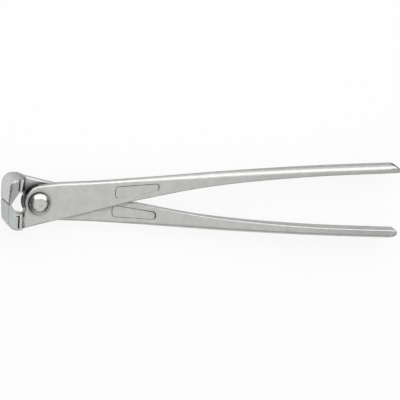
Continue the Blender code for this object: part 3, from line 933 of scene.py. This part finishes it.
def patched_colour(nodes, look):
    """The steel's own colour, in soft patches of its two shades."""
    share = nodes.ramp(nodes.noise(look["patch_scale"], PATCH_DETAIL), 0.0, 1.0, NOISE_MIDDLE)
    return nodes.blend(share, look["dark"], look["light"])


def rounded_normal(nodes):
    """The surface's normal, bent round over the edges."""
    edge = nodes.add("ShaderNodeBevel", samples=EDGE_SAMPLES)
    edge.inputs["Radius"].default_value = EDGE_RADIUS
    return edge.outputs["Normal"]


def wear_and_highlight_share(nodes, rounded):
    """1 on an edge, where the rounded normal turns from the face's own, and 0 away from it: where wear and a
    painted highlight lighten the colour.
    """
    true_face = nodes.add("ShaderNodeNewGeometry")
    turned = nodes.add("ShaderNodeVectorMath", operation="DOT_PRODUCT")
    nodes.link(rounded, turned.inputs[0])
    nodes.link(true_face.outputs["Normal"], turned.inputs[1])
    return nodes.ramp(turned.outputs["Value"], 1.0, 0.0, EDGE_WEAR_AND_HIGHLIGHT)


def open_share(nodes, look):
    """1 on open faces and 0 in crevices, where the colour is darkened as painted shade."""
    open_air = nodes.add("ShaderNodeAmbientOcclusion", samples=CREVICE_SAMPLES)
    open_air.inputs["Distance"].default_value = look["crevice_shade_reach"]
    return nodes.ramp(open_air.outputs["AO"], 0.0, 1.0, look["crevice_shade_range"])


def patched_roughness(nodes, look, clear):
    """Roughness in fine patches, and duller in crevices."""
    noise = nodes.noise(DULL_PATCH_SCALE, DULL_PATCH_DETAIL)
    brightest = look["roughness"] - BRIGHTER_PATCHES
    dullest = look["roughness"] + DULLER_PATCHES
    patches = nodes.ramp(noise, brightest, dullest, NOISE_MIDDLE)
    dull = nodes.maths("MULTIPLY_ADD", clear, -CREVICE_DULLNESS, CREVICE_DULLNESS)
    return nodes.maths("ADD", patches, dull)


def grained_normal(nodes, look, rounded):
    """The rounded normal with the steel's fine grain on it."""
    surface = nodes.noise(look["grain"], GRAIN_DETAIL, look["stretch"])
    bump = nodes.add("ShaderNodeBump")
    bump.inputs["Strength"].default_value = 1.0
    bump.inputs["Distance"].default_value = look["depth"]
    nodes.link(surface, bump.inputs["Height"])
    nodes.link(rounded, bump.inputs["Normal"])
    return bump.outputs["Normal"]


def metal(name, look):
    """A steel with the given look: patches, worn edges lightened as wear and painted highlight, painted shade
    in crevices and towards the root where the look has it, and fine grain.
    """
    material, nodes, shader = new_material(name)
    shader.inputs["Metallic"].default_value = 1.0
    shader.inputs["Specular Tint"].default_value = (*look["grazing"], 1)
    before_crevice_shade = patched_colour(nodes, look)
    rounded = rounded_normal(nodes)
    # Edges are lightened, partly as wear and partly as a painted highlight
    before_crevice_shade = nodes.blend(wear_and_highlight_share(nodes, rounded), before_crevice_shade, look["wear_and_highlight"])
    # Painted shade on the rear jaw's front, darker towards the jaw's root
    if "root_shade" in look:
        toward_root = nodes.ramp(nodes.coordinates("Object")["X"], 0.0, 1.0, ROOT_SHADE_X)
        before_crevice_shade = nodes.blend(toward_root, before_crevice_shade, look["root_shade"])
    # Painted shade in crevices: the less open the surface, the darker its colour
    clear = open_share(nodes, look)
    nodes.link(nodes.blend(clear, look["crevice_shade"], before_crevice_shade), shader.inputs["Base Color"])
    nodes.link(patched_roughness(nodes, look, clear), shader.inputs["Roughness"])
    nodes.link(grained_normal(nodes, look, rounded), shader.inputs["Normal"])
    return material


def steel_slot(face):
    """The material slot of the steel that a face of a half gets."""
    normal = face.normal
    if on_ground_side(face):
        return GROUND_SLOT if face.center.z > 0 else MILLED_SLOT
    # The jaw's front takes painted light: a darker copy on the front half, a lighter one with painted shade
    # towards the root on the rear half
    if on_jaw_front(face):
        return JAW_SLOT
    # The lip takes a painted highlight
    if on_lip(face):
        return LIP_HIGHLIGHT_SLOT
    # The panel's sloped edges take painted shade
    if ENGRAVED_NORMAL_Z < abs(normal.z) < FLAT_NORMAL_Z and in_panel(face.center):
        return ENGRAVED_EDGE_SHADE_SLOT
    # Walls, cut ends and valley walls take painted shade
    if on_rim_wall(face) or on_cut_end(face) or on_valley_wall(face):
        return WALL_SHADE_SLOT
    # Handle side walls take painted shade
    if on_handle_side(face):
        return SIDE_SHADE_SLOT
    return PLATED_SLOT


def on_ground_side(face):
    """Whether a face is on one of the jaw's two flat sides, which are ground or milled."""
    beyond_step = abs(face.center.z) > HALF_WIDTH - GROUND_STEP / 2
    return face.center.x < GROUND_SIDE_END_X and abs(face.normal.z) > FLAT_NORMAL_Z and beyond_step


def on_jaw_front(face):
    """Whether a face is on the jaw's front or on its shoulder."""
    front = face.center.x < GROUND_SIDE_END_X and face.normal.x < JAW_FRONT_NORMAL
    outside_throat = face.center.x < JAW_SHOULDER_END_X and face.center.y < -THROAT_HALF_HEIGHT
    return front or (outside_throat and face.normal.y < JAW_FRONT_NORMAL)


def on_lip(face):
    """Whether a face is on the lip between the milled side and the wall behind it."""
    leaning = LIP_NORMAL_X[0] < face.normal.x < LIP_NORMAL_X[1]
    return face.center.x < LIP_BACK_END_X and face.normal.z < LIP_NORMAL_Z and leaning


def on_rim_wall(face):
    """Whether a face is on the wall of the plate's round rim."""
    away = face.center.xy - Vector((RIM_CENTRE_X, RIM_CENTRE_Y))
    turn = math.atan2(away.y, away.x) % (2 * math.pi)
    on_plate = 0 < face.center.z < PLATE_THICKNESS - RIM_ROUND / 2
    on_radius = abs(away.length - RIM_RADIUS) < RIM_TOLERANCE and abs(face.normal.z) < RIM_NORMAL_Z
    return on_plate and on_radius and RIM_START < turn < RIM_END + RIM_RUN_OUT


def on_valley_wall(face):
    """Whether a face is on the wall that comes down to the lap plane beside the lip."""
    beside_lip = VALLEY_START_X < face.center.x < VALLEY_END_X
    return beside_lip and face.normal.x > VALLEY_NORMAL_X and face.normal.z < VALLEY_NORMAL_Z


def on_cut_end(face):
    """Whether a face is on the slanted end of the handle."""
    beyond = face.center.x > HANDLE_REACH - END_CORNER_LENGTH
    return beyond and face.normal.x > CUT_END_NORMAL_X and face.normal.y > CUT_END_NORMAL_Y


def on_handle_side(face):
    """Whether a face is on one of the side walls behind the jaw."""
    upright = abs(face.normal.y) > HANDLE_SIDE_NORMAL_Y and abs(face.normal.z) < HANDLE_SIDE_NORMAL_Z
    return face.center.x > JAW_ROOT_X and upright


def in_panel(point):
    """Whether a point is inside the recessed panel's outline."""
    outline = [Vector(corner) for corner in panel_outline(-PANEL_SLOPE)]
    sides = zip(outline, outline[1:] + outline[:1])
    return all((end - start).cross(point.xy - start) > 0 for start, end in sides)


def shade(piece, materials):
    """Give a piece its materials and smooth shading between its sharp edges."""
    piece.data.materials.clear()
    for material in materials:
        piece.data.materials.append(material)
    piece.data.shade_smooth()
    piece.data.set_sharp_from_angle(angle=SHARP_ANGLE)
    modifier = piece.modifiers.new("even_faces", "WEIGHTED_NORMAL")
    modifier.keep_sharp = True


def camera():
    """The camera at the photograph's viewing angle."""
    data = bpy.data.cameras.new("camera")
    data.sensor_width = SENSOR_WIDTH
    data.lens = SENSOR_WIDTH * CAMERA_DISTANCE * MILLIMETRES_IN_METRE / (IMAGE_SIZE / PIXELS_PER_MILLIMETRE)
    data.clip_end = CAMERA_CLIP_END
    made = bpy.data.objects.new("camera", data)
    bpy.context.collection.objects.link(made)
    back = Vector(CAMERA_BACK).normalized()
    right = Vector(CAMERA_UP).cross(back).normalized()
    up = back.cross(right)
    aside = IMAGE_SIZE / 2 - AIM_PIXEL[0]
    below = IMAGE_SIZE / 2 - AIM_PIXEL[1]
    aim = Vector(CAMERA_AIM) + (right * aside - up * below) / PIXELS_PER_MILLIMETRE / MILLIMETRES_IN_METRE
    spot = aim + back * CAMERA_DISTANCE
    rotation = Matrix((right, up, back)).transposed().to_4x4()
    made.matrix_world = Matrix.Translation(spot) @ rotation
    bpy.context.scene.camera = made


def softbox(name, spot, aim, width, height, radiance):
    """A rectangular lamp that faces a point and is equally bright at any size."""
    data = bpy.data.lights.new(name, "AREA")
    data.shape = "RECTANGLE"
    data.size = width
    data.size_y = height
    data.energy = radiance * math.pi * width * height
    made = bpy.data.objects.new(name, data)
    bpy.context.collection.objects.link(made)
    direction = Vector(aim) - Vector(spot)
    made.location = spot
    made.rotation_euler = direction.to_track_quat("-Z", "Y").to_euler()


def floor():
    """The pale floor, which glows for the camera and the reflections alone and keeps the shadow."""
    mesh = bmesh.new()
    bmesh.ops.create_grid(mesh, x_segments=1, y_segments=1, size=FLOOR_SIZE)
    made = as_object("floor", mesh)
    made.location = FLOOR_CENTRE
    material, nodes, shader = new_material("floor")
    shader.inputs["Base Color"].default_value = (*FLOOR_COLOUR, 1)
    shader.inputs["Roughness"].default_value = FLOOR_ROUGHNESS
    shader.inputs["Specular IOR Level"].default_value = 0.0
    path = nodes.add("ShaderNodeLightPath")
    seen = nodes.maths("ADD", path.outputs["Is Camera Ray"], path.outputs["Is Glossy Ray"])
    seen = nodes.maths("ADD", seen, path.outputs["Is Transmission Ray"])
    glow = nodes.add("ShaderNodeEmission")
    glow.inputs["Strength"].default_value = 1.0
    mixed = nodes.add("ShaderNodeMixShader")
    nodes.link(nodes.maths("MULTIPLY", seen, FLOOR_GLOW), mixed.inputs[0])
    nodes.link(shader.outputs[0], mixed.inputs[1])
    nodes.link(glow.outputs[0], mixed.inputs[2])
    nodes.link(mixed.outputs[0], nodes.tree.nodes["Material Output"].inputs["Surface"])
    made.data.materials.append(material)


def world():
    """The studio's light: bright overhead and in front, dark past the jaws and low past the handles."""
    made = bpy.data.worlds.new("studio")
    bpy.context.scene.world = made
    made.use_nodes = True
    nodes = Nodes(made.node_tree)
    back = nodes.tree.nodes["Background"]
    back.inputs["Color"].default_value = (1, 1, 1, 1)
    toward = nodes.coordinates("Generated")
    level = nodes.ramp(toward["Z"], HORIZON_LEVEL, ZENITH_LEVEL, SKY_RISE)
    toward_jaws = nodes.ramp(toward["X"], JAW_SIDE_SHARE, 1.0, JAW_SIDE_RANGE)
    toward_ends = nodes.ramp(toward["X"], 1.0, END_SIDE_SHARE, END_SIDE_RANGE)
    high = nodes.ramp(toward["Z"], 0.0, 1.0, END_SIDE_RISE)
    toward_ends = nodes.maths("MAXIMUM", toward_ends, high)
    toward_front = nodes.ramp(toward["Y"], FRONT_SIDE_LEVEL, 0.0, FRONT_SIDE_RANGE)
    level = nodes.maths("MAXIMUM", nodes.maths("MULTIPLY", level, toward_jaws), toward_front)
    nodes.link(nodes.maths("MULTIPLY", level, toward_ends), back.inputs["Strength"])


def steels():
    """The steels of the front half, the rear half and the rivet, each half's in the order of its slots."""
    forged = [metal("plated_steel", PLATED), metal("ground_steel", GROUND), metal("milled_steel", MILLED)]
    # Copies of the steel with painted light: painted shade on the engraved edges, walls and handle sides, and
    # a painted highlight on the lip
    shaded = [
        metal("engraved_edge_shade_steel", ENGRAVED_EDGE_SHADE),
        metal("lip_highlight_steel", LIP_HIGHLIGHT),
        metal("shaded_wall_steel", WALL_SHADE),
        metal("handle_side_shade_steel", HANDLE_SIDE_SHADE),
    ]
    # The jaws' fronts: a darker copy as painted shade on the front half, a lighter copy with painted shade
    # towards the root on the rear half
    front = [*forged, metal("front_jaw_shaded_steel", FRONT_JAW_SHADED), *shaded]
    rear = [*forged, metal("rear_jaw_lit_and_shaded_steel", REAR_JAW_LIT_AND_SHADED), *shaded]
    return front, rear, [metal("rivet_steel", RIVET)]


def studio():
    """The camera, the floor, the surroundings and the lamps."""
    camera()
    floor()
    world()
    for row in SOFTBOXES:
        softbox(*row)
    bpy.context.scene.view_settings.view_transform = "Standard"


def main():
    """Make the pieces, set them in the tool's frame on their bodies, and set up the studio."""
    front = half("forged_front_half")
    rear = half("forged_rear_half")
    pin = rivet("domed_rivet")
    front_steels, rear_steels, rivet_steels = steels()
    for piece, node, body, slot, materials in (
        (front, "front_half", "front", "plated_steel", front_steels),
        (rear, "rear_half", "rear", "plated_steel", rear_steels),
        (pin, "rivet", "rear", "rivet_steel", rivet_steels),
    ):
        shade(piece, materials)
        if piece is not pin:
            for face in piece.data.polygons:
                face.material_index = steel_slot(face)
        if piece is rear:
            piece.data.transform(Matrix.Rotation(math.pi, 4, "X"))
        piece.data.transform(Matrix.Translation((0, 0, HALF_WIDTH)))
        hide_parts(node)
        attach(piece, body)
    studio()


main()
